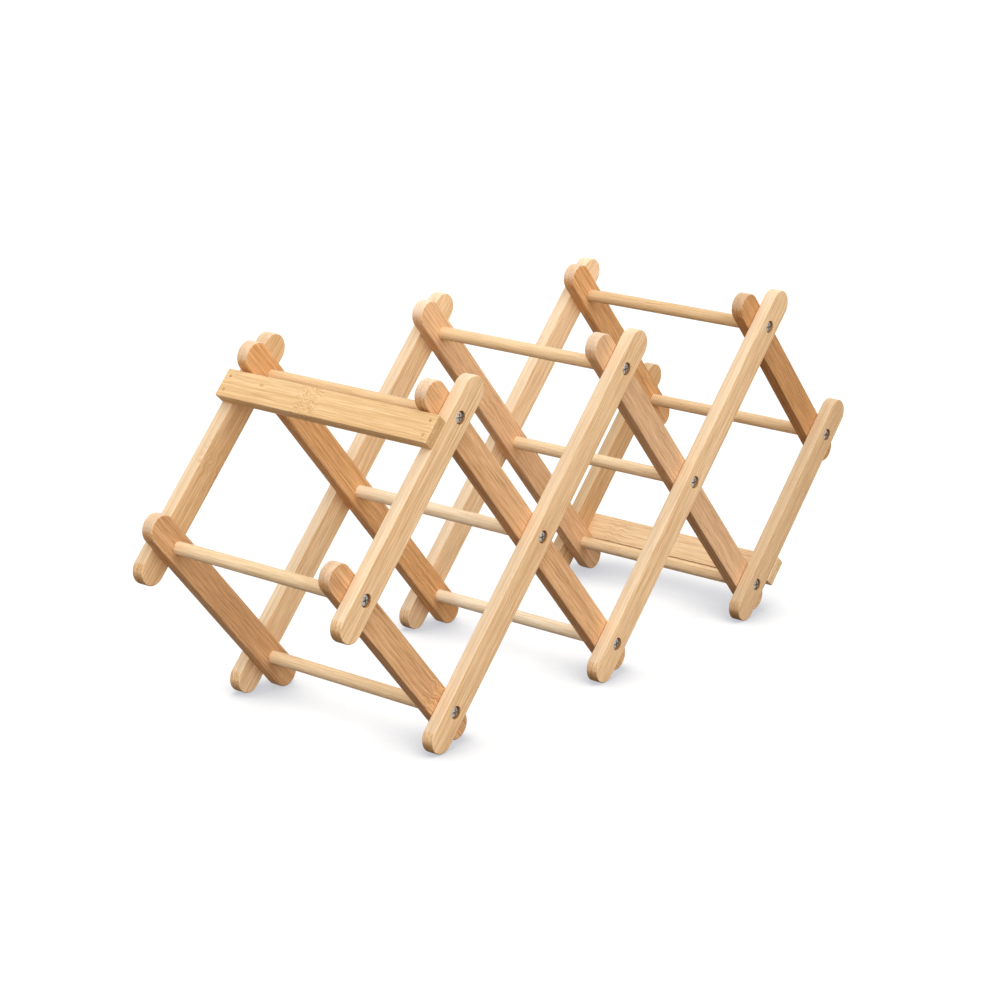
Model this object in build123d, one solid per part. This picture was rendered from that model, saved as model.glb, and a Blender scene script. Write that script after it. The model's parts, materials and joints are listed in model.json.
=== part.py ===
from build123d import *
import os
from math import cos, radians, sin, tan

# A folding wine rack of bamboo. Two scissor lattices stand on edge, one in front and one behind.
# Ten round rungs tie them together at the pivots. In each lattice the outer slats lean to the right
# and the inner slats lean to the left. A screw at each end of a rung passes through both slats and
# is the pin they turn on. A flat bar is nailed across the edges of the first pair of outer slats and
# another across the last pair: they are the grips, and they stop the rack from opening any further.
# Frame: +X along the row of cells, +Y from the front lattice to the back one, +Z up. The origin is
# on the floor under the middle of the open rack. Lengths are millimetres and angles are degrees.

# Driving dimensions
PIVOT_PITCH = 115.0  # between neighbouring pivot holes of one slat
OPEN_ANGLE = 48.0  # of every slat above the floor, with the rack drawn out to its stop
SLAT_WIDTH = 18.0
SLAT_THICKNESS = 8.0
SLAT_OVERHANG = 26.0  # from the last pivot hole to the rounded tip
EDGE_EASE = 0.5  # the small chamfer that takes the sharpness off slats and bars
LAYER_GAP = 0.2  # play between an outer slat and the inner slat it turns against
RUNG_LENGTH = 124.0
RUNG_DIAMETER = 8.0
BAR_WIDTH = 18.0
BAR_THICKNESS = 8.0
STOP_CLEARANCE = 0.1  # between a bar's edge and the inner slat that it stops

# Pivot screws
SCREW_DIAMETER = 3.5
SCREW_LENGTH = 35.0  # under the head, with the point
SCREW_POINT = 4.0
HEAD_DIAMETER = 6.8
HEAD_HEIGHT = 2.2
HEAD_CROWN = 0.7  # height of the head's domed part
DRIVE_SPAN = 4.0  # tip to tip of the cross recess
DRIVE_SLOT = 0.9
DRIVE_DEPTH = 1.4
PIVOT_CLEARANCE = 0.1  # radial, between a screw and the slats that turn on it
COUNTERBORE_DIAMETER = 7.6
COUNTERBORE_DEPTH = 2.8
PILOT_SPARE = 1.0  # the pilot hole in a rung runs this far past the screw's point

# Brads that hold the bars
BRAD_DIAMETER = 1.2
BRAD_LENGTH = 20.0
BRAD_HEAD_DIAMETER = 1.6
BRAD_HEAD_HEIGHT = 0.6
BRAD_SPACING = 9.0  # between the two brads at one end of a bar

# Sizes that follow
HALF_WIDTH = SLAT_WIDTH / 2
COLUMN_STEP = PIVOT_PITCH * cos(radians(OPEN_ANGLE))
ROW_STEP = PIVOT_PITCH * sin(radians(OPEN_ANGLE))
FOOT_DROP = (SLAT_OVERHANG - HALF_WIDTH) * sin(radians(OPEN_ANGLE)) + HALF_WIDTH
INNER_FACE = RUNG_LENGTH / 2  # from the middle plane to the inner slats
OUTER_LAYER = INNER_FACE + SLAT_THICKNESS + LAYER_GAP
OUTER_FACE = OUTER_LAYER + SLAT_THICKNESS
SCREW_SEAT = OUTER_FACE - COUNTERBORE_DEPTH
BAR_OFFSET = HALF_WIDTH / tan(radians(OPEN_ANGLE)) + STOP_CLEARANCE
BRAD_PLANE = OUTER_LAYER + SLAT_THICKNESS / 2

# Pivots as (column, row) in lattice steps from the middle of the bottom row
PIVOTS = {
    "bottom_1": (-2, 0),
    "bottom_2": (0, 0),
    "bottom_3": (2, 0),
    "middle_1": (-3, 1),
    "middle_2": (-1, 1),
    "middle_3": (1, 1),
    "middle_4": (3, 1),
    "top_1": (-2, 2),
    "top_2": (0, 2),
    "top_3": (2, 2),
}

# Slats from left to right: the lowest pivot and the number of pivot holes
OUTER_SLATS = [("middle_1", 2), ("bottom_1", 3), ("bottom_2", 3), ("bottom_3", 2)]
INNER_SLATS = [("bottom_1", 2), ("bottom_2", 3), ("bottom_3", 3), ("middle_4", 2)]

FROM_BASE = (Align.CENTER, Align.CENTER, Align.MIN)


def pivot_place(pivot):
    """Where a pivot's axis crosses the middle plane."""
    column, row = PIVOTS[pivot]
    return Pos(column * COLUMN_STEP, 0, FOOT_DROP + row * ROW_STEP)


def lean_right(pivot):
    """The place of an outer slat whose lowest hole is at a pivot."""
    return pivot_place(pivot) * Rot(0, -OPEN_ANGLE, 0)


def lean_left(pivot):
    """The place of an inner slat whose lowest hole is at a pivot."""
    return pivot_place(pivot) * Rot(0, OPEN_ANGLE - 180, 0)


def front_peg(along, start, diameter, height):
    """A round cutter through a front slat, from `start` in front of the middle plane outwards."""
    return Plane.XZ.offset(start) * Pos(along, 0) * Cylinder(diameter / 2, height, align=FROM_BASE)


def slat_blank(holes, start):
    """A front slat along +X from its lowest pivot: flat, round-ended, with eased edges and pivot holes."""
    hole_span = (holes - 1) * PIVOT_PITCH
    arc_span = hole_span + 2 * (SLAT_OVERHANG - HALF_WIDTH)
    outline = Plane.XZ.offset(start) * Pos(hole_span / 2, 0) * SlotCenterToCenter(arc_span, SLAT_WIDTH)
    blank = extrude(outline, SLAT_THICKNESS)
    rims = blank.faces().filter_by(Axis.Y).edges()
    blank = chamfer(rims, EDGE_EASE)
    for hole in range(holes):
        bore = SCREW_DIAMETER + 2 * PIVOT_CLEARANCE
        blank -= front_peg(hole * PIVOT_PITCH, start, bore, SLAT_THICKNESS)
    return blank


def outer_slat(holes):
    """A front outer slat, counterbored on its face for the screw heads."""
    slat = slat_blank(holes, OUTER_LAYER)
    for hole in range(holes):
        slat -= front_peg(hole * PIVOT_PITCH, SCREW_SEAT, COUNTERBORE_DIAMETER, COUNTERBORE_DEPTH)
    return slat


def inner_slat(holes):
    """A front inner slat, plain bored."""
    return slat_blank(holes, INNER_FACE)


def pivot_screw():
    """A pan-head wood screw with a cross recess, at the front, pointing along +Y towards the rung."""
    radius = SCREW_DIAMETER / 2
    head_radius = HEAD_DIAMETER / 2
    crown_edge = HEAD_HEIGHT - HEAD_CROWN
    profile = make_face(
        Polyline(
            (0, HEAD_HEIGHT),
            (0, -SCREW_LENGTH),
            (radius, SCREW_POINT - SCREW_LENGTH),
            (radius, 0),
            (head_radius, 0),
            (head_radius, crown_edge),
        )
        + ThreePointArc(
            (head_radius, crown_edge),
            (head_radius * 0.6, HEAD_HEIGHT - HEAD_CROWN * 0.36),
            (0, HEAD_HEIGHT),
        )
    )
    screw = revolve(Plane.XZ * profile, Axis.Z)
    recess = Pos(0, 0, HEAD_HEIGHT - DRIVE_DEPTH) * (
        Box(DRIVE_SPAN, DRIVE_SLOT, DRIVE_DEPTH, align=FROM_BASE)
        + Box(DRIVE_SLOT, DRIVE_SPAN, DRIVE_DEPTH, align=FROM_BASE)
    )
    return Plane.XZ.offset(SCREW_SEAT) * (screw - recess)


def rung():
    """A round rung between the lattices, bored at both ends for its screws."""
    bar = Plane.XZ.offset(-INNER_FACE) * Cylinder(RUNG_DIAMETER / 2, RUNG_LENGTH, align=FROM_BASE)
    depth = SCREW_LENGTH - (SCREW_SEAT - INNER_FACE) + PILOT_SPARE
    pilot = front_peg(0, INNER_FACE - depth, SCREW_DIAMETER, depth)
    return bar - pilot - mirror(pilot, about=Plane.XZ)


def brads(along):
    """The four brads of a bar that lies on the upper edge of its slats, centred `along` from their pivot."""
    top = HALF_WIDTH + BAR_THICKNESS
    shank = Pos(0, 0, top - BRAD_LENGTH) * Cylinder(BRAD_DIAMETER / 2, BRAD_LENGTH, align=FROM_BASE)
    head = Pos(0, 0, top - BRAD_HEAD_HEIGHT) * Cylinder(
        BRAD_HEAD_DIAMETER / 2, BRAD_HEAD_HEIGHT, align=FROM_BASE
    )
    brad = shank + head
    return [
        Pos(along + side * BRAD_SPACING / 2, end * BRAD_PLANE, 0) * brad
        for side in (-1, 1)
        for end in (-1, 1)
    ]


def end_bar(along):
    """A flat bar across the upper edges of a pair of slats, flush with their outer faces."""
    bar = Pos(along, 0, HALF_WIDTH + BAR_THICKNESS / 2) * Box(BAR_WIDTH, 2 * OUTER_FACE, BAR_THICKNESS)
    return chamfer(bar.edges(), EDGE_EASE)


def both_sides(front):
    """A front piece and its mirror image in the back lattice."""
    return {"front": front, "back": mirror(front, about=Plane.XZ)}


def build_end(number, place, along, bar_name):
    """A pair of end slats and the bar nailed across them. `place` lays the bar's edge of the slats upwards."""
    nails = brads(along)
    nail_holes = Compound(children=nails)
    bar = end_bar(along) - nail_holes
    for side, slat in both_sides(outer_slat(2)).items():
        nodes[f"outer_slat_{number}_{side}"] = place * (slat - nail_holes)
    nodes[f"{bar_name}_end_bar"] = place * bar
    nodes[f"{bar_name}_bar_brads"] = place * Compound(children=nails)


nodes = {}

# Outer slats, with the bars on the first and the last pair
half_turn = Pos(PIVOT_PITCH, 0, 0) * Rot(0, 180, 0)
upper_along = PIVOT_PITCH - BAR_OFFSET - BAR_WIDTH / 2
for number, (pivot, holes) in enumerate(OUTER_SLATS, start=1):
    if number == 1:
        build_end(number, lean_right(pivot), upper_along, "upper")
    elif number == len(OUTER_SLATS):
        build_end(number, lean_right(pivot) * half_turn, upper_along, "lower")
    else:
        for side, slat in both_sides(outer_slat(holes)).items():
            nodes[f"outer_slat_{number}_{side}"] = lean_right(pivot) * slat

# Inner slats
for number, (pivot, holes) in enumerate(INNER_SLATS, start=1):
    for side, slat in both_sides(inner_slat(holes)).items():
        nodes[f"inner_slat_{number}_{side}"] = lean_left(pivot) * slat

# Rungs and the two screws of each
screw_pair = Compound(children=list(both_sides(pivot_screw()).values()))
for pivot in PIVOTS:
    nodes[f"rung_{pivot}"] = pivot_place(pivot) * rung()
    nodes[f"screws_{pivot}"] = pivot_place(pivot) * screw_pair

os.makedirs("parts", exist_ok=True)
for name, shape in nodes.items():
    export_step(shape, f"parts/{name}.step")
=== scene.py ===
import json
import math

import bmesh
import bpy
from mathutils import Matrix, Vector


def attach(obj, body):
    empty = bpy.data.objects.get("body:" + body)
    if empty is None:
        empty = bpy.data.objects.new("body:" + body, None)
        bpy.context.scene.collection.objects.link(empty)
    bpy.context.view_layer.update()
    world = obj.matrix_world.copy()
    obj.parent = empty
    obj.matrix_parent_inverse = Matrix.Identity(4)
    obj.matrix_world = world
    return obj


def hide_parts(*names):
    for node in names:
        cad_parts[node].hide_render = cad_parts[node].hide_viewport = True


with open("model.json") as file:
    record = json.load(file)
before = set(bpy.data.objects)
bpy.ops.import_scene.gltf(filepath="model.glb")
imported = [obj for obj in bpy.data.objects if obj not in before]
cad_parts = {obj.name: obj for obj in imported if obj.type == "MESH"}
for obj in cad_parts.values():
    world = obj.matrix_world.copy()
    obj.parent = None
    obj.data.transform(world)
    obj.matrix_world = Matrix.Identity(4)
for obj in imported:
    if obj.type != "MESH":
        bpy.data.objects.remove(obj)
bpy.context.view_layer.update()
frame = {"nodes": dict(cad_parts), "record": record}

# The rack's sizes are in millimetres, and MM turns them into the frame's metres
MM = 0.001

# Driving sizes
PIVOT_PITCH = 115.0
OPEN_ANGLE = math.radians(48.0)
SLAT_WIDTH = 18.0
SLAT_THICKNESS = 8.0
SLAT_OVERHANG = 26.0
LAYER_GAP = 0.2
RUNG_LENGTH = 124.0
RUNG_DIAMETER = 8.0
RUNG_EASE = 0.3
BAR_WIDTH = 18.0
BAR_THICKNESS = 8.0
STOP_CLEARANCE = 0.1
HOLE_RADIUS = 1.85
COUNTERBORE_RADIUS = 3.8
COUNTERBORE_DEPTH = 2.8
BRAD_HOLE_RADIUS = 0.85
BRAD_HOLE_DEPTH = 0.6
BRAD_HOLE_EASE = 0.12
BRAD_SPACING = 9.0
EDGE_ROUND = 0.7
LEAST_ROUND = 0.05
HOLE_ROUND = 0.25

# The boards that the pieces are cut from
STRIP_WIDTH = 20.0
KNUCKLE_STEP = 190.0
PLY_KNUCKLE_STEP = 0.31  # from the first ply's knuckles to the second ply's, as a share of the step
FAINT_KNUCKLES = 0.2  # strength of the knuckles of most boards

# Boards with no tone of their own
USUAL_WASH = 0.1  # share of faded wood
WASH_SPREAD = 0.1  # how far that share may be from the usual
TONE_SPREAD = 0.06  # how far the lightness may be from the usual

# Steps from board to board in what differs by chance
TONE_DRAW = 0.618
WASH_DRAW = 0.291
START_DRAW = 0.377
SHIFT_DRAW = 0.733

# Sizes that follow
HALF_WIDTH = SLAT_WIDTH / 2
COSINE = math.cos(OPEN_ANGLE)
SINE = math.sin(OPEN_ANGLE)
COLUMN_STEP = PIVOT_PITCH * COSINE
ROW_STEP = PIVOT_PITCH * SINE
FOOT_DROP = (SLAT_OVERHANG - HALF_WIDTH) * SINE + HALF_WIDTH
INNER_FACE = RUNG_LENGTH / 2
INNER_OUTSIDE = INNER_FACE + SLAT_THICKNESS
OUTER_FACE = INNER_OUTSIDE + LAYER_GAP + SLAT_THICKNESS
BRAD_PLANE = OUTER_FACE - SLAT_THICKNESS / 2
BAR_OFFSET = HALF_WIDTH / math.tan(OPEN_ANGLE) + STOP_CLEARANCE

# Painted light on the slats' rims, from the full painted highlight at 1 to the darkest painted shade at
# -1, and the bars' darker ends on the same scale
TIP_HIGHLIGHT = 0.75
FOOT_SHADE = 0.65
FRONT_UNDERSIDE_SHADE = 0.75  # painted shade on the undersides of the front slats
BAR_END_DARKENING = 0.5

# How finely round shapes are divided
ARC_STEPS = 18
ROUND_STEPS = 3
HOLE_STEPS = 36
RUNG_STEPS = 40
SHARP_ANGLE = math.radians(38.0)

# Pivots as (column, row), and each pair of slats as its lowest pivot and its number of holes
PIVOTS = {
    "bottom_1": (-2, 0),
    "bottom_2": (0, 0),
    "bottom_3": (2, 0),
    "middle_1": (-3, 1),
    "middle_2": (-1, 1),
    "middle_3": (1, 1),
    "middle_4": (3, 1),
    "top_1": (-2, 2),
    "top_2": (0, 2),
    "top_3": (2, 2),
}
OUTER_SLATS = [("middle_1", 2), ("bottom_1", 3), ("bottom_2", 3), ("bottom_3", 2)]
INNER_SLATS = [("bottom_1", 2), ("bottom_2", 3), ("bottom_3", 3), ("middle_4", 2)]
body_of_node = {
    node: body
    for body, members in frame["record"]["behaviour"]["bodies"].items()
    for node in members
}


def pivot_point(pivot):
    """A pivot's place in the lattice plane, as (x, z)."""
    column, row = PIVOTS[pivot]
    return column * COLUMN_STEP, FOOT_DROP + row * ROW_STEP


# Mesh building

class Stock:
    """The piece of board that a part is cut from: its tone, and where its knuckles and joints fall."""

    count = 0

    def __init__(self, tone=None, knuckle=None):
        Stock.count += 1
        self.number = Stock.count
        if tone is None:
            tone = (self.draw(TONE_DRAW, TONE_SPREAD), USUAL_WASH + self.draw(WASH_DRAW, WASH_SPREAD))
        self.tone, self.wash = tone
        if knuckle is None:
            self.knots = FAINT_KNUCKLES
            self.start = self.draw(START_DRAW, KNUCKLE_STEP)
            self.shift = self.draw(SHIFT_DRAW, STRIP_WIDTH)
        else:
            place, self.knots, in_second_ply = knuckle
            ply_step = PLY_KNUCKLE_STEP if in_second_ply else 0.0
            self.start = KNUCKLE_STEP * (0.5 - ply_step) - place
            self.shift = STRIP_WIDTH / 2

    def draw(self, step, spread):
        """A value between -spread and spread that differs from piece to piece."""
        return spread * (2 * ((self.number * step) % 1.0) - 1)


class Body:
    """A mesh in the making, whose points know their place in the wood they are cut from."""

    def __init__(self, stock):
        self.mesh = bmesh.new()
        self.grain = self.mesh.verts.layers.float_vector.new("grain")
        # Per point: the rim's painted highlight and painted shade (darker ends on the bars), painted
        # shade in holes, and the knuckles' strength
        self.cut = self.mesh.verts.layers.float_vector.new("cut")
        self.board = self.mesh.verts.layers.float_vector.new("board")
        self.stock = stock

    def point(self, place, along, depth, across, painted_light_and_dark_ends=0.0, bore=0.0):
        """A point of the mesh. `painted_light_and_dark_ends` is 1 where a rim has its full painted
        highlight and -1 where it has its darkest painted shade, and `bore` is 1 where a hole's wall gets
        painted shade.
        """
        made = self.mesh.verts.new(Vector(place) * MM)
        made[self.grain] = Vector((along + self.stock.start, depth, across + self.stock.shift))
        made[self.cut] = Vector((painted_light_and_dark_ends, bore, self.stock.knots))
        made[self.board] = Vector((self.stock.tone, self.stock.wash, self.stock.number))
        return made

    def skin(self, rings):
        """Quads between neighbouring closed rings."""
        for low, high in zip(rings, rings[1:]):
            for i in range(len(low)):
                j = (i + 1) % len(low)
                self.mesh.faces.new((low[i], low[j], high[j], high[i]))

    def fill(self, *rings):
        """A flat face bounded by the first ring, with the others as holes in it."""
        edges = [
            self.mesh.edges.get((ring[i - 1], ring[i])) or self.mesh.edges.new((ring[i - 1], ring[i]))
            for ring in rings
            for i in range(len(ring))
        ]
        bmesh.ops.triangle_fill(self.mesh, use_beauty=True, use_dissolve=False, edges=edges)

    def finish_object(self, name, material):
        bmesh.ops.recalc_face_normals(self.mesh, faces=self.mesh.faces)
        for face in self.mesh.faces:
            face.smooth = True
        for edge in self.mesh.edges:
            edge.smooth = edge.calc_face_angle(0.0) < SHARP_ANGLE
        data = bpy.data.meshes.new(name)
        self.mesh.to_mesh(data)
        self.mesh.free()
        data.materials.append(material)
        made = bpy.data.objects.new(name, data)
        bpy.context.scene.collection.objects.link(made)
        normals = made.modifiers.new("normals", "WEIGHTED_NORMAL")
        normals.keep_sharp = True
        return made


def edge_profile(thickness):
    """(inset, depth, sideways share of the normal) round both rims of a plate, from face to face."""
    rim = []
    for step in range(ROUND_STEPS + 1):
        turn = math.pi / 2 * step / ROUND_STEPS
        inset = EDGE_ROUND * (1 - math.sin(turn))
        depth = EDGE_ROUND * (1 - math.cos(turn))
        rim.append((inset, depth, math.sin(turn)))
    return rim + [(inset, thickness - depth, side) for inset, depth, side in reversed(rim)]


def capsule(first, last, inset):
    """Points (x, z) of a slat's round-ended outline, each with its outward direction."""
    radius = HALF_WIDTH - inset
    points = []
    for centre, start in ((last, -math.pi / 2), (first, math.pi / 2)):
        for step in range(ARC_STEPS + 1):
            turn = start + math.pi * step / ARC_STEPS
            outwards = (math.cos(turn), math.sin(turn))
            points.append((centre + radius * outwards[0], radius * outwards[1], outwards))
    return points


def rectangle(half_length, half_width, inset):
    """Points (x, z) of a bar's outline with small round corners, each with its outward direction."""
    corner = EDGE_ROUND
    radius = max(corner - inset, LEAST_ROUND)
    points = []
    for quarter, (sx, sz) in enumerate(((1, -1), (1, 1), (-1, 1), (-1, -1))):
        for step in range(ROUND_STEPS + 1):
            turn = math.pi / 2 * (quarter - 1 + step / ROUND_STEPS)
            x = sx * (half_length - corner) + radius * math.cos(turn)
            z = sz * (half_width - corner) + radius * math.sin(turn)
            points.append((x, z, (math.cos(turn), math.sin(turn))))
    return points


def plate(body, outline, thickness, holes, place, painted_light_and_dark_ends):
    """A flat piece with softened rims. `painted_light_and_dark_ends` gives each rim's lightness from its
    outward direction: painted highlight and painted shade on the slats, darker ends on the bars.

    A hole is (x, z, [(radius, depth), ...], goes through).
    """
    middle = thickness / 2
    rings = []
    for inset, depth, side in edge_profile(thickness):
        rings.append([
            body.point(place(x, depth, z), x, depth - middle, z, painted_light_and_dark_ends=side * painted_light_and_dark_ends(*outwards))
            for x, z, outwards in outline(inset)
        ])
    body.skin(rings)
    front = [rings[0]]
    back = [rings[-1]]
    for x, z, steps, through in holes:
        walls = []
        for number, (radius, depth) in enumerate(steps):
            # Walls below a hole's mouth get painted shade
            inside = 0.0 if number == 0 or (through and number == len(steps) - 1) else 1.0
            wall = []
            for step in range(HOLE_STEPS):
                turn = 2 * math.pi * step / HOLE_STEPS
                px = x + radius * math.cos(turn)
                pz = z + radius * math.sin(turn)
                wall.append(body.point(place(px, depth, pz), px, depth - middle, pz, bore=inside))
            walls.append(wall)
        body.skin(walls)
        front.append(walls[0])
        if through:
            back.append(walls[-1])
        else:
            body.mesh.faces.new(walls[-1])
    body.fill(*front)
    body.fill(*back)


def soft_bore(radius, start, end):
    """Wall of a bore from one face to the other, with its mouths softened."""
    return [
        (radius + HOLE_ROUND, start),
        (radius, start + HOLE_ROUND),
        (radius, end - HOLE_ROUND),
        (radius + HOLE_ROUND, end),
    ]


def slat_place(pivot, lean, side, outer_face):
    """Maps a slat's own (along, depth from its outer face, across) to the rack's frame."""
    x0, z0 = pivot_point(pivot)
    along = (lean * COSINE, SINE)
    across = (-SINE, lean * COSINE)

    def place(x, depth, z):
        return (
            x0 + along[0] * x + across[0] * z,
            side * (outer_face - depth),
            z0 + along[1] * x + across[1] * z,
        )

    return place


def slat(name, pivot, holes, lean, side, outer, material, stock):
    """One slat, counterbored at its pivots if it is an outer one."""
    span = (holes - 1) * PIVOT_PITCH
    reach = SLAT_OVERHANG - HALF_WIDTH
    if outer:
        wall = [
            (COUNTERBORE_RADIUS + HOLE_ROUND, 0.0),
            (COUNTERBORE_RADIUS, HOLE_ROUND),
            (COUNTERBORE_RADIUS, COUNTERBORE_DEPTH),
            (HOLE_RADIUS, COUNTERBORE_DEPTH),
            (HOLE_RADIUS, SLAT_THICKNESS - HOLE_ROUND),
            (HOLE_RADIUS + HOLE_ROUND, SLAT_THICKNESS),
        ]
    else:
        wall = soft_bore(HOLE_RADIUS, 0.0, SLAT_THICKNESS)

    # Painted shade under the front slats only
    underside_shade = FRONT_UNDERSIDE_SHADE if side < 0 else 0.0

    # Painted highlight on rims that face up and round the upper end; painted shade round the lower end,
    # darkest where it faces down, and under the front slats
    def painted_light_and_dark_ends(x, z):
        climb = x * SINE + z * lean * COSINE
        under = underside_shade * abs(z) * max(0.0, -climb)
        foot = max(0.0, -x) * max(FOOT_SHADE, -climb)
        return max(0.0, climb, TIP_HIGHLIGHT * x) - foot - under

    body = Body(stock)
    plate(
        body,
        lambda inset: capsule(-reach, span + reach, inset),
        SLAT_THICKNESS,
        [(hole * PIVOT_PITCH, 0.0, wall, True) for hole in range(holes)],
        slat_place(pivot, lean, side, OUTER_FACE if outer else INNER_OUTSIDE),
        painted_light_and_dark_ends,
    )
    return body.finish_object(name, material)


def end_bar(name, pivot, turn, material, stock):
    """A bar across the edges of a pair of end slats. `turn` is 1 at the left end and -1 at the right."""
    x0, z0 = pivot_point(pivot)
    along = (-turn * COSINE, -turn * SINE)
    outwards = (-turn * SINE, turn * COSINE)
    centre = BAR_OFFSET + BAR_WIDTH / 2

    def place(x, depth, z):
        from_pivot = centre + z
        height = HALF_WIDTH + BAR_THICKNESS - depth
        return (
            x0 + along[0] * from_pivot + outwards[0] * height,
            x,
            z0 + along[1] * from_pivot + outwards[1] * height,
        )

    dimple = [
        (BRAD_HOLE_RADIUS + BRAD_HOLE_EASE, 0.0),
        (BRAD_HOLE_RADIUS, BRAD_HOLE_EASE),
        (BRAD_HOLE_RADIUS, BRAD_HOLE_DEPTH),
    ]
    brads = [
        (end * BRAD_PLANE, edge * BRAD_SPACING / 2, dimple, False)
        for end in (-1, 1)
        for edge in (-1, 1)
    ]
    body = Body(stock)
    plate(
        body,
        lambda inset: rectangle(OUTER_FACE, BAR_WIDTH / 2, inset),
        BAR_THICKNESS,
        brads,
        place,
        lambda x, z: -BAR_END_DARKENING * abs(x),
    )
    return body.finish_object(name, material)


def lathe(body, steps, profile, place):
    """A closed round body along its own axis from (radius, height) steps, first and last closed flat."""
    rings = []
    for radius, height in profile:
        ring = []
        for step in range(steps):
            turn = 2 * math.pi * step / steps
            x = radius * math.cos(turn)
            z = radius * math.sin(turn)
            ring.append(body.point(place(x, height, z), height, x, z))
        rings.append(ring)
    body.skin(rings)
    body.mesh.faces.new(rings[0])
    body.mesh.faces.new(rings[-1])


def rung(name, pivot, material, stock):
    """A round rung between the lattices."""
    x0, z0 = pivot_point(pivot)
    radius = RUNG_DIAMETER / 2
    half = RUNG_LENGTH / 2
    profile = [
        (radius - RUNG_EASE, -half),
        (radius, RUNG_EASE - half),
        (radius, half - RUNG_EASE),
        (radius - RUNG_EASE, half),
    ]
    body = Body(stock)
    lathe(body, RUNG_STEPS, profile, lambda x, height, z: (x0 + x, height, z0 + z))
    return body.finish_object(name, material)


# Materials

class Shader:
    """A short way to write the nodes of a material or the world."""

    def __init__(self, owner):
        owner.use_nodes = True
        self.owner = owner
        self.tree = owner.node_tree
        self.tree.nodes.clear()

    def node(self, kind, inputs, **settings):
        made = self.tree.nodes.new("ShaderNode" + kind)
        for key, value in settings.items():
            setattr(made, key, value)
        for key, value in inputs.items():
            if isinstance(value, bpy.types.NodeSocket):
                self.tree.links.new(value, made.inputs[key])
            else:
                made.inputs[key].default_value = value
        return made

    def math(self, operation, first, second=0.0):
        return self.node("Math", {0: first, 1: second}, operation=operation).outputs[0]

    def fade(self, value, start, end):
        """0 before start and 1 after end, smoothly, also with start above end."""
        made = self.node("MapRange", {0: value, 1: start, 2: end}, interpolation_type="SMOOTHSTEP")
        return made.outputs[0]

    def mix(self, factor, first, second, blend="MIX"):
        made = self.node("Mix", {0: factor, 6: first, 7: second}, data_type="RGBA", blend_type=blend)
        return made.outputs[2]

    def stretch(self, vector, scale):
        return self.node("VectorMath", {0: vector, 1: scale}, operation="MULTIPLY").outputs[0]

    def noise(self, vector, detail=2.0, roughness=0.5):
        inputs = {"Vector": vector, "Scale": 1.0, "Detail": detail, "Roughness": roughness}
        return self.node("TexNoise", inputs).outputs[0]

    def bump(self, relief, strength, height):
        inputs = {"Height": relief, "Strength": strength, "Distance": height}
        return self.node("Bump", inputs).outputs[0]

    def seen(self):
        """1 for the rays that show a surface: from the eye, in a reflection or through glass."""
        rays = self.node("LightPath", {}).outputs
        direct = self.math("MAXIMUM", rays["Is Camera Ray"], rays["Is Glossy Ray"])
        return self.math("MAXIMUM", direct, rays["Is Transmission Ray"])

    def surface(self, **inputs):
        named = {key.replace("_", " "): value for key, value in inputs.items()}
        shader = self.node("BsdfPrincipled", named)
        self.node("OutputMaterial", {"Surface": shader.outputs[0]})
        return self.owner


# Bamboo grain, as changes per millimetre along the fibres, through the plies and across the strips
BROAD_GRAIN = (0.008, 0.14, 0.14)
STREAK_GRAIN = (0.009, 0.62, 0.62)
FINE_GRAIN = (0.05, 1.5, 1.5)
BUNDLE_GRAIN = (0.011, 0.70, 0.70)
KNUCKLE_DRIFT = (0.18, 0.06, 0.10)
RIPPLE_BREAKS = (0.24, 0.3, 0.50)

# Knuckles and the bud scar, in millimetres
KNUCKLE_REACH = 12.0
KNUCKLE_CORE = 4.0
KNUCKLE_BEND = 13.0
RIPPLE_STEP = 1.9
BUD_FROM_KNUCKLE = 37.0
BUD_FROM_MIDDLE = 3.0
BUD_PLACE = (KNUCKLE_STEP / 2 + BUD_FROM_KNUCKLE, -BAR_THICKNESS / 2, STRIP_WIDTH / 2 - BUD_FROM_MIDDLE)
BUD_SHAPE = (0.42, 0.33, 0.72)  # one over its half sizes along, through and across the wood
STRONG_KNUCKLE = 0.9  # strength from which a knuckle has the bud scar beside it
STRIP_STAGGER = 0.17  # from one strip's knuckles to the next strip's, as a share of the step
BOARD_STEP = 31.0  # from one board's grain to the next board's

# Where each pattern begins and where it is full
JOINT_RANGE = (0.49, 0.4985)
PLY_RANGE = (0.40, 0.12)
BUD_RANGE = (1.0, 0.3)
BUNDLE_RANGE = (0.36, 0.16)
RIPPLE_RANGE = (0.24, 0.09)
BREAK_RANGE = (0.42, 0.54)
STREAK_RANGE = (0.38, 0.60)
FINE_RANGE = (0.44, 0.62)
# painted highlight on rims that face up
HIGHLIGHT_RANGE = (0.3, 0.7)
# painted shade on rims that face down, and the bars' darker ends
SHADE_AND_DARK_END_RANGE = (-0.25, -0.80)

# How strongly each pattern colours or shades the wood
FINE_SHARE = 0.37
RIPPLE_SHARE = 0.56
BUD_SHARE = 0.45
# painted highlight on rims that face up
HIGHLIGHT_SHARE = 0.55
PLAIN_LEVEL = 0.93
STRIP_SHADE = 0.16
BROAD_SHADE = 0.30
JOINT_SHADE = 0.12
PLY_SHADE = 0.26
# painted shade deep in holes
BORE_PAINTED_SHADE = 0.62
# painted shade on rims that face down, and the bars' darker ends
SHADE_AND_DARK_END_DEPTH = 0.52
RED_POWER = 0.75  # darker wood keeps more of its red
BLUE_POWER = 1.35  # darker wood loses more of its blue

# Surface of the bamboo
LEAST_ROUGHNESS = 0.46
FINE_ROUGHNESS = 0.16
FINE_RELIEF = 0.5
BUNDLE_RELIEF = 0.4
JOINT_RELIEF = 0.5
GRAIN_STRENGTH = 0.35
GRAIN_HEIGHT = 0.1 * MM
WOOD_SHINE = 0.05


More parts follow.
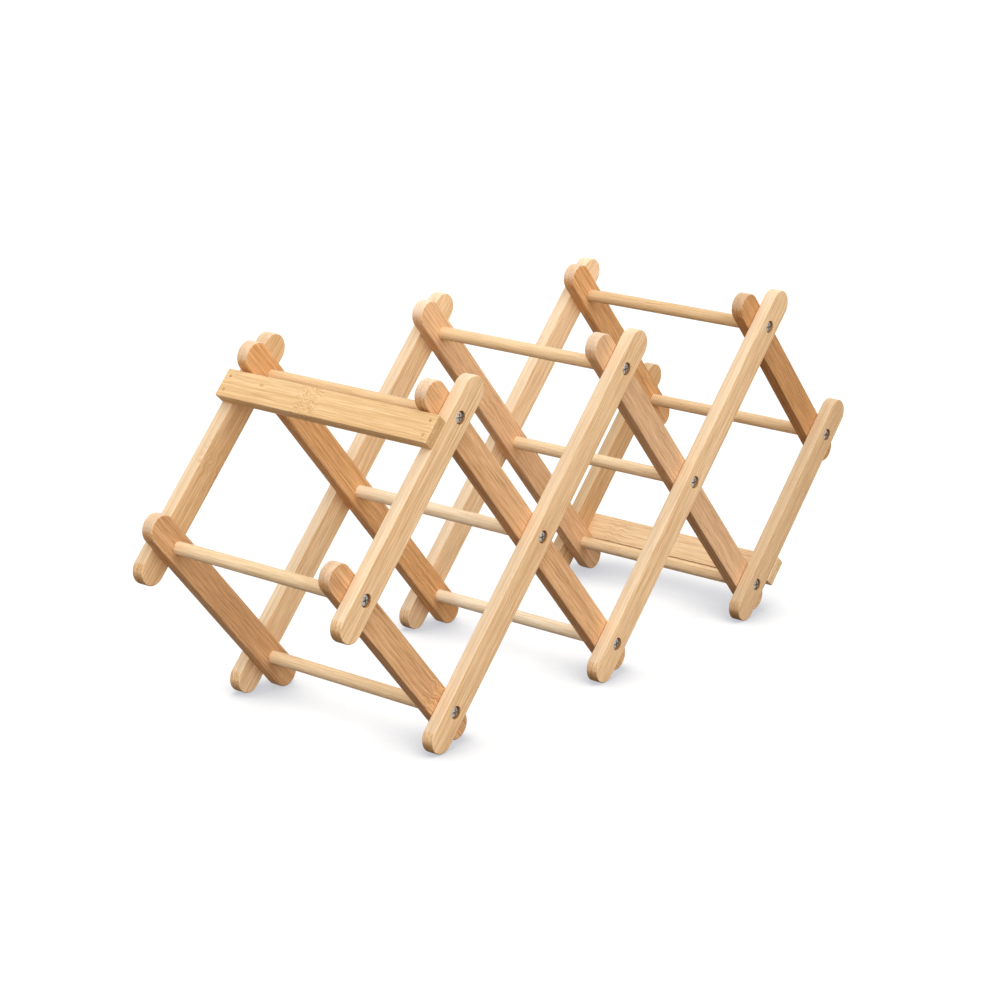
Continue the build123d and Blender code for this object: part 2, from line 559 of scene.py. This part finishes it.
def bamboo(name, pale, deep, fibre, faded, edge, lines):
    """Laminated bamboo: two plies of strips, long fibres and knuckles, with a painted highlight on rims
    that face up, painted shade on rims that face down and in holes, and darker bar ends.
    """
    nodes = Shader(bpy.data.materials.new(name))
    grain = nodes.node("Attribute", {}, attribute_name="grain").outputs["Vector"]
    cut = nodes.node("Attribute", {}, attribute_name="cut").outputs["Vector"]
    board = nodes.node("Attribute", {}, attribute_name="board").outputs["Vector"]
    painted_light_and_dark_ends, bore, knots = nodes.node("SeparateXYZ", {0: cut}).outputs
    tone, wash, seed = nodes.node("SeparateXYZ", {0: board}).outputs
    along, depth, across = nodes.node("SeparateXYZ", {0: grain}).outputs

    # Which strip of which ply a point is in
    ply = nodes.math("GREATER_THAN", depth, 0.0)
    strip_at = nodes.math("DIVIDE", across, STRIP_WIDTH)
    strip = nodes.math("FLOOR", strip_at)
    strip_key = nodes.node("CombineXYZ", {0: strip, 1: ply, 2: seed}).outputs[0]
    strip_draw = nodes.node("TexWhiteNoise", {"Vector": strip_key}, noise_dimensions="3D")
    strip_tone = strip_draw.outputs["Value"]
    joint_off = nodes.math("ABSOLUTE", nodes.math("SUBTRACT", nodes.math("FRACT", strip_at), 0.5))
    joint_line = nodes.fade(joint_off, *JOINT_RANGE)
    ply_line = nodes.fade(nodes.math("ABSOLUTE", depth), *PLY_RANGE)

    # Knuckles, where the fibres bend to and fro
    ply_shift = nodes.math("MULTIPLY", ply, PLY_KNUCKLE_STEP)
    knuckle_at = nodes.math("ADD", nodes.math("DIVIDE", along, KNUCKLE_STEP), ply_shift)
    knuckle_at = nodes.math("ADD", knuckle_at, nodes.math("MULTIPLY", strip, STRIP_STAGGER))
    knuckle_off = nodes.math("ABSOLUTE", nodes.math("SUBTRACT", nodes.math("FRACT", knuckle_at), 0.5))
    knuckle = nodes.fade(knuckle_off, KNUCKLE_REACH / KNUCKLE_STEP, KNUCKLE_CORE / KNUCKLE_STEP)
    knuckle = nodes.math("MULTIPLY", knuckle, knots)
    drift = nodes.noise(nodes.stretch(grain, KNUCKLE_DRIFT), detail=1.0)
    bend = nodes.math("MULTIPLY", nodes.math("SUBTRACT", drift, 0.5), KNUCKLE_BEND)
    bend = nodes.math("MULTIPLY", bend, knuckle)
    bent = nodes.math("ADD", across, bend)
    seat = nodes.math("MULTIPLY", nodes.math("ADD", strip_tone, seed), BOARD_STEP)
    fibre_at = nodes.node(
        "CombineXYZ",
        {0: nodes.math("ADD", along, seat), 1: nodes.math("ADD", depth, seat), 2: bent},
    ).outputs[0]

    # A bud scar beside the strongest knuckle
    from_bud = nodes.node("VectorMath", {0: grain, 1: BUD_PLACE}, operation="SUBTRACT").outputs[0]
    stretched = nodes.stretch(from_bud, BUD_SHAPE)
    reach = nodes.node("VectorMath", {0: stretched}, operation="LENGTH").outputs["Value"]
    has_bud = nodes.math("GREATER_THAN", knots, STRONG_KNUCKLE)
    bud = nodes.math("MULTIPLY", nodes.fade(reach, *BUD_RANGE), has_bud)

    # Fibres from broad bands to fine threads and bundles, and the ripples at a knuckle
    broad = nodes.noise(nodes.stretch(fibre_at, BROAD_GRAIN))
    streak = nodes.noise(nodes.stretch(fibre_at, STREAK_GRAIN), detail=3.0, roughness=0.7)
    fine = nodes.noise(nodes.stretch(fibre_at, FINE_GRAIN), roughness=0.6)
    cells = nodes.node(
        "TexVoronoi",
        {"Vector": nodes.stretch(fibre_at, BUNDLE_GRAIN), "Scale": 1.0},
        feature="F1",
    ).outputs["Distance"]
    bundle = nodes.fade(cells, *BUNDLE_RANGE)
    ripple = nodes.math("FRACT", nodes.math("DIVIDE", bent, RIPPLE_STEP))
    ripple = nodes.math("ABSOLUTE", nodes.math("SUBTRACT", ripple, 0.5))
    broken = nodes.noise(nodes.stretch(grain, RIPPLE_BREAKS), detail=1.0)
    ripple = nodes.math("MULTIPLY", nodes.fade(ripple, *RIPPLE_RANGE), nodes.fade(broken, *BREAK_RANGE))
    ripple = nodes.math("MULTIPLY", ripple, knuckle)

    # Colour
    # Painted highlight on rims that face up, which also fades the fibres and the ply line, and painted
    # shade on rims that face down, with the bars' darker ends
    painted_highlight = nodes.fade(painted_light_and_dark_ends, *HIGHLIGHT_RANGE)
    painted_shade_and_dark_ends = nodes.fade(painted_light_and_dark_ends, *SHADE_AND_DARK_END_RANGE)
    kept = nodes.math("SUBTRACT", 1.0, nodes.math("MULTIPLY", painted_highlight, HIGHLIGHT_SHARE))
    wood = nodes.mix(nodes.fade(streak, *STREAK_RANGE), deep, pale)
    wood = nodes.mix(wash, wood, faded)
    # The painted highlight takes the edge colour
    wood = nodes.mix(nodes.math("MULTIPLY", painted_highlight, HIGHLIGHT_SHARE), wood, edge)
    threads = nodes.math("MULTIPLY", nodes.fade(fine, *FINE_RANGE), FINE_SHARE)
    threads = nodes.math("ADD", threads, nodes.math("MULTIPLY", bundle, lines))
    threads = nodes.math("ADD", threads, nodes.math("MULTIPLY", ripple, RIPPLE_SHARE))
    threads = nodes.math("ADD", threads, nodes.math("MULTIPLY", bud, BUD_SHARE))
    wood = nodes.mix(nodes.math("MULTIPLY", threads, kept), wood, fibre)
    level = nodes.math("ADD", PLAIN_LEVEL, nodes.math("MULTIPLY", strip_tone, STRIP_SHADE))
    bands = nodes.math("MULTIPLY", nodes.math("SUBTRACT", broad, 0.5), BROAD_SHADE)
    level = nodes.math("ADD", level, bands)
    level = nodes.math("ADD", level, tone)
    level = nodes.math("SUBTRACT", level, nodes.math("MULTIPLY", joint_line, JOINT_SHADE))
    ply_shade = nodes.math("MULTIPLY", nodes.math("MULTIPLY", ply_line, kept), PLY_SHADE)
    level = nodes.math("SUBTRACT", level, ply_shade)
    # Painted shade deep in holes and on rims that face down, with the bars' darker ends
    for pattern, darkening in ((bore, BORE_PAINTED_SHADE), (painted_shade_and_dark_ends, SHADE_AND_DARK_END_DEPTH)):
        left = nodes.math("SUBTRACT", 1.0, nodes.math("MULTIPLY", pattern, darkening))
        level = nodes.math("MULTIPLY", level, left)
    red = nodes.math("POWER", level, RED_POWER)
    blue = nodes.math("POWER", level, BLUE_POWER)
    shade = nodes.node("CombineXYZ", {0: red, 1: level, 2: blue}).outputs[0]
    colour = nodes.mix(1.0, wood, shade, "MULTIPLY")

    # Surface
    rough = nodes.math("ADD", LEAST_ROUGHNESS, nodes.math("MULTIPLY", fine, FINE_ROUGHNESS))
    relief = nodes.math("MULTIPLY", fine, FINE_RELIEF)
    relief = nodes.math("SUBTRACT", relief, nodes.math("MULTIPLY", bundle, BUNDLE_RELIEF))
    grooves = nodes.math("ADD", joint_line, ply_line)
    relief = nodes.math("SUBTRACT", relief, nodes.math("MULTIPLY", grooves, JOINT_RELIEF))
    bump = nodes.bump(relief, GRAIN_STRENGTH, GRAIN_HEIGHT)
    return nodes.surface(Base_Color=colour, Roughness=rough, Normal=bump, Specular_IOR_Level=WOOD_SHINE)


# Tarnish and scratches of the steel, with their grain as changes per metre
TARNISH_GRAIN = (900.0, 900.0, 900.0)
TARNISH_RANGE = (0.40, 0.70)
SCRATCH_GRAIN = (400.0, 400.0, 6000.0)
SCRATCH_ROUGHNESS = 0.10
SCRATCH_STRENGTH = 0.15
SCRATCH_HEIGHT = 0.05 * MM


def steel(name, bright, dull, smooth, worn):
    """Plated steel with faint scratches and a little tarnish."""
    nodes = Shader(bpy.data.materials.new(name))
    place = nodes.node("TexCoord", {}).outputs["Object"]
    cloud = nodes.noise(nodes.stretch(place, TARNISH_GRAIN), detail=3.0, roughness=0.6)
    scratch = nodes.noise(nodes.stretch(place, SCRATCH_GRAIN))
    colour = nodes.mix(nodes.fade(cloud, *TARNISH_RANGE), bright, dull)
    rough = nodes.math("ADD", smooth, nodes.math("MULTIPLY", cloud, worn))
    rough = nodes.math("ADD", rough, nodes.math("MULTIPLY", scratch, SCRATCH_ROUGHNESS))
    bump = nodes.bump(scratch, SCRATCH_STRENGTH, SCRATCH_HEIGHT)
    return nodes.surface(Base_Color=colour, Metallic=1.0, Roughness=rough, Normal=bump)


# Each wood's edge colour is the colour of its painted highlight on rims that face up
outer_wood = bamboo(
    "bamboo_outer",
    pale=(0.86, 0.60, 0.345, 1),
    deep=(0.75, 0.475, 0.236, 1),
    fibre=(0.46, 0.22, 0.08, 1),
    faded=(0.90, 0.735, 0.525, 1),
    edge=(0.81, 0.69, 0.515, 1),
    lines=0.22,
)
inner_wood = bamboo(
    "bamboo_inner",
    pale=(0.85, 0.49, 0.224, 1),
    deep=(0.70, 0.355, 0.139, 1),
    fibre=(0.30, 0.12, 0.04, 1),
    faded=(0.74, 0.545, 0.37, 1),
    edge=(0.87, 0.735, 0.578, 1),
    lines=0.24,
)
rung_wood = bamboo(
    "bamboo_rung",
    pale=(0.93, 0.71, 0.45, 1),
    deep=(0.87, 0.63, 0.365, 1),
    fibre=(0.62, 0.37, 0.17, 1),
    faded=(0.94, 0.81, 0.60, 1),
    edge=(0.92, 0.70, 0.45, 1),
    lines=0.14,
)
bar_wood = bamboo(
    "bamboo_bar",
    pale=(0.87, 0.615, 0.332, 1),
    deep=(0.76, 0.485, 0.218, 1),
    fibre=(0.50, 0.24, 0.08, 1),
    faded=(0.89, 0.71, 0.475, 1),
    edge=(0.88, 0.69, 0.46, 1),
    lines=0.26,
)
screw_steel = steel(
    "screw_steel",
    bright=(0.50, 0.46, 0.41, 1),
    dull=(0.24, 0.21, 0.18, 1),
    smooth=0.26,
    worn=0.22,
)
brad_steel = steel(
    "brad_steel",
    bright=(0.60, 0.38, 0.19, 1),
    dull=(0.44, 0.27, 0.12, 1),
    smooth=0.45,
    worn=0.25,
)


# The rack's pieces

def take_place(piece, node):
    """A piece stands for a solid and moves with its body."""
    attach(piece, body_of_node[node])
    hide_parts(node)


# The pieces' own tones, as (lightness, share of faded wood); outer_slat_2_back, outer_slat_3_back and
# inner_slat_3_back are lighter partly by their own tone and partly as painted light against the shade on
# the back lattice. The rungs not named here differ by chance.
TONES = {
    "outer_slat_1_front": (0.12, 0.05),
    "outer_slat_1_back": (-0.08, 0.0),
    "outer_slat_2_front": (0.03, 0.08),
    "outer_slat_2_back": (0.16, 0.1),
    "outer_slat_3_front": (0.03, 0.15),
    "outer_slat_3_back": (0.15, 0.15),
    "outer_slat_4_front": (-0.22, 0.35),
    "outer_slat_4_back": (-0.16, 0.0),
    "inner_slat_1_front": (-0.04, 0.25),
    "inner_slat_1_back": (-0.08, 0.27),
    "inner_slat_2_front": (0.04, 0.25),
    "inner_slat_2_back": (0.07, 0.0),
    "inner_slat_3_front": (0.0, 0.5),
    "inner_slat_3_back": (0.24, 0.3),
    "inner_slat_4_front": (-0.26, 0.15),
    "inner_slat_4_back": (-0.02, 0.05),
    "rung_top_1": (-0.1, 0.0),
    "rung_top_3": (-0.17, 0.0),
    "rung_middle_1": (0.0, 0.3),
    "rung_middle_2": (0.10, 0.65),
    "rung_middle_3": (0.10, 0.25),
    "rung_bottom_2": (0.12, 0.85),
    "upper_end_bar": (0.0, 0.15),
    "lower_end_bar": (0.10, 0.6),
}
# Knuckles in plain view, as (place along the piece, strength, in the second ply). The place is measured
# from a slat's lowest pivot or from the middle of a bar.
KNUCKLES = {
    "upper_end_bar": (12.0, 1.0, False),
    "inner_slat_1_front": (14.0, 0.5, False),
    "outer_slat_1_back": (55.0, 0.6, True),
    "lower_end_bar": (48.0, 0.45, True),
}


def stock_for(node):
    return Stock(TONES.get(node), KNUCKLES.get(node))


for kind, lean, table in (("outer", 1, OUTER_SLATS), ("inner", -1, INNER_SLATS)):
    wood = outer_wood if kind == "outer" else inner_wood
    for number, (pivot, holes) in enumerate(table, start=1):
        for word, side in (("front", -1), ("back", 1)):
            node = f"{kind}_slat_{number}_{word}"
            made = slat(f"{node}_wood", pivot, holes, lean, side, kind == "outer", wood, stock_for(node))
            take_place(made, node)

for pivot in PIVOTS:
    node = f"rung_{pivot}"
    take_place(rung(f"{node}_wood", pivot, rung_wood, stock_for(node)), node)

for word, pivot, turn in (("upper", "top_1", 1), ("lower", "bottom_3", -1)):
    node = f"{word}_end_bar"
    take_place(end_bar(f"{node}_wood", pivot, turn, bar_wood, stock_for(node)), node)

for name, node in frame["nodes"].items():
    if name.startswith("screws_"):
        node.material_slots[0].material = screw_steel
    elif name.endswith("_brads"):
        node.material_slots[0].material = brad_steel


# Floor, light and camera

# Lengths of the floor and the camera are metres
FLOOR_HALF = 12.0
FLOOR_LIT = (0.16, 0.155, 0.15, 1)
FLOOR_WHITE = (0.92, 0.92, 0.92, 1)
FLOOR_SHADOW = (0.50, 0.52, 0.56, 1)
FLOOR_BOUNCE = (0.107, 0.069, 0.0465, 1)
SHADOW_REACH = 0.05
SHADOW_RANGE = (0.40, 0.95)
SHADOW_SAMPLES = 16
SKY_STRENGTH = 0.35
SKY_TINT = (1.0, 0.86, 0.70, 1)
WHITE = (1, 1, 1, 1)


def floor():
    """A pale floor that stays white to the eye and keeps the rack's soft shadow."""
    nodes = Shader(bpy.data.materials.new("floor"))
    lit = nodes.node("BsdfDiffuse", {"Color": FLOOR_LIT}).outputs[0]
    openness = nodes.node("AmbientOcclusion", {"Distance": SHADOW_REACH}, samples=SHADOW_SAMPLES)
    level = nodes.fade(openness.outputs["AO"], *SHADOW_RANGE)
    glow_colour = nodes.mix(level, FLOOR_SHADOW, FLOOR_WHITE)
    glow = nodes.node("Emission", {"Color": glow_colour, "Strength": 1.0}).outputs[0]
    white = nodes.node("AddShader", {0: lit, 1: glow}).outputs[0]
    plain = nodes.node("BsdfDiffuse", {"Color": FLOOR_BOUNCE}).outputs[0]
    both = nodes.node("MixShader", {0: nodes.seen(), 1: plain, 2: white}).outputs[0]
    nodes.node("OutputMaterial", {"Surface": both})
    data = bpy.data.meshes.new("floor")
    corners = [
        (-FLOOR_HALF, -FLOOR_HALF, 0),
        (FLOOR_HALF, -FLOOR_HALF, 0),
        (FLOOR_HALF, FLOOR_HALF, 0),
        (-FLOOR_HALF, FLOOR_HALF, 0),
    ]
    data.from_pydata(corners, [], [(0, 1, 2, 3)])
    data.materials.append(nodes.owner)
    made = bpy.data.objects.new("floor", data)
    bpy.context.scene.collection.objects.link(made)


def sun(name, towards, strength, spread):
    """Soft light that comes from the direction `towards`."""
    data = bpy.data.lights.new(name, "SUN")
    data.energy = strength
    data.angle = math.radians(spread)
    made = bpy.data.objects.new(name, data)
    made.rotation_mode = "QUATERNION"
    made.rotation_quaternion = Vector(towards).to_track_quat("Z", "Y")
    bpy.context.scene.collection.objects.link(made)


def sky():
    """Even light from all round, white where it is seen directly or in a reflection."""
    world = bpy.data.worlds.new("sky")
    nodes = Shader(world)
    seen = nodes.seen()
    level = nodes.node("MapRange", {"Value": seen, "To Min": SKY_STRENGTH, "To Max": 1.0}).outputs[0]
    colour = nodes.mix(seen, SKY_TINT, WHITE)
    background = nodes.node("Background", {"Color": colour, "Strength": level}).outputs[0]
    nodes.node("OutputWorld", {"Surface": background})
    bpy.context.scene.world = world


def camera():
    """A long lens above the left front corner of the rack."""
    azimuth = math.radians(-51.87)
    elevation = math.radians(16.37)
    roll = math.radians(1.15)
    distance = 1.6248
    right_shift = 0.0115
    up_shift = 0.00966
    centre = Vector((0, 0, (FOOT_DROP + ROW_STEP) * MM))
    back = Vector((
        math.sin(azimuth) * math.cos(elevation),
        -math.cos(azimuth) * math.cos(elevation),
        math.sin(elevation),
    ))
    level_right = Vector((math.cos(azimuth), math.sin(azimuth), 0))
    level_up = back.cross(level_right)
    right = level_right * math.cos(roll) + level_up * math.sin(roll)
    up = level_up * math.cos(roll) - level_right * math.sin(roll)
    data = bpy.data.cameras.new("camera")
    data.sensor_width = 36.0
    data.lens = 95.4
    made = bpy.data.objects.new("camera", data)
    turn = Matrix((right, up, back)).transposed().to_4x4()
    place = centre + back * distance - right * right_shift - up * up_shift
    made.matrix_world = Matrix.Translation(place) @ turn
    bpy.context.scene.collection.objects.link(made)
    bpy.context.scene.camera = made


floor()
sun("key", towards=(-0.58, -0.60, 0.55), strength=2.02, spread=110)
sun("front", towards=(-0.25, -0.93, 0.27), strength=1.52, spread=90)
sun("top", towards=(-0.50, 0.20, 0.84), strength=0.48, spread=110)
sun("back", towards=(0.60, 0.76, 0.25), strength=2.1, spread=80)
sky()
camera()
bpy.context.scene.view_settings.view_transform = "Standard"
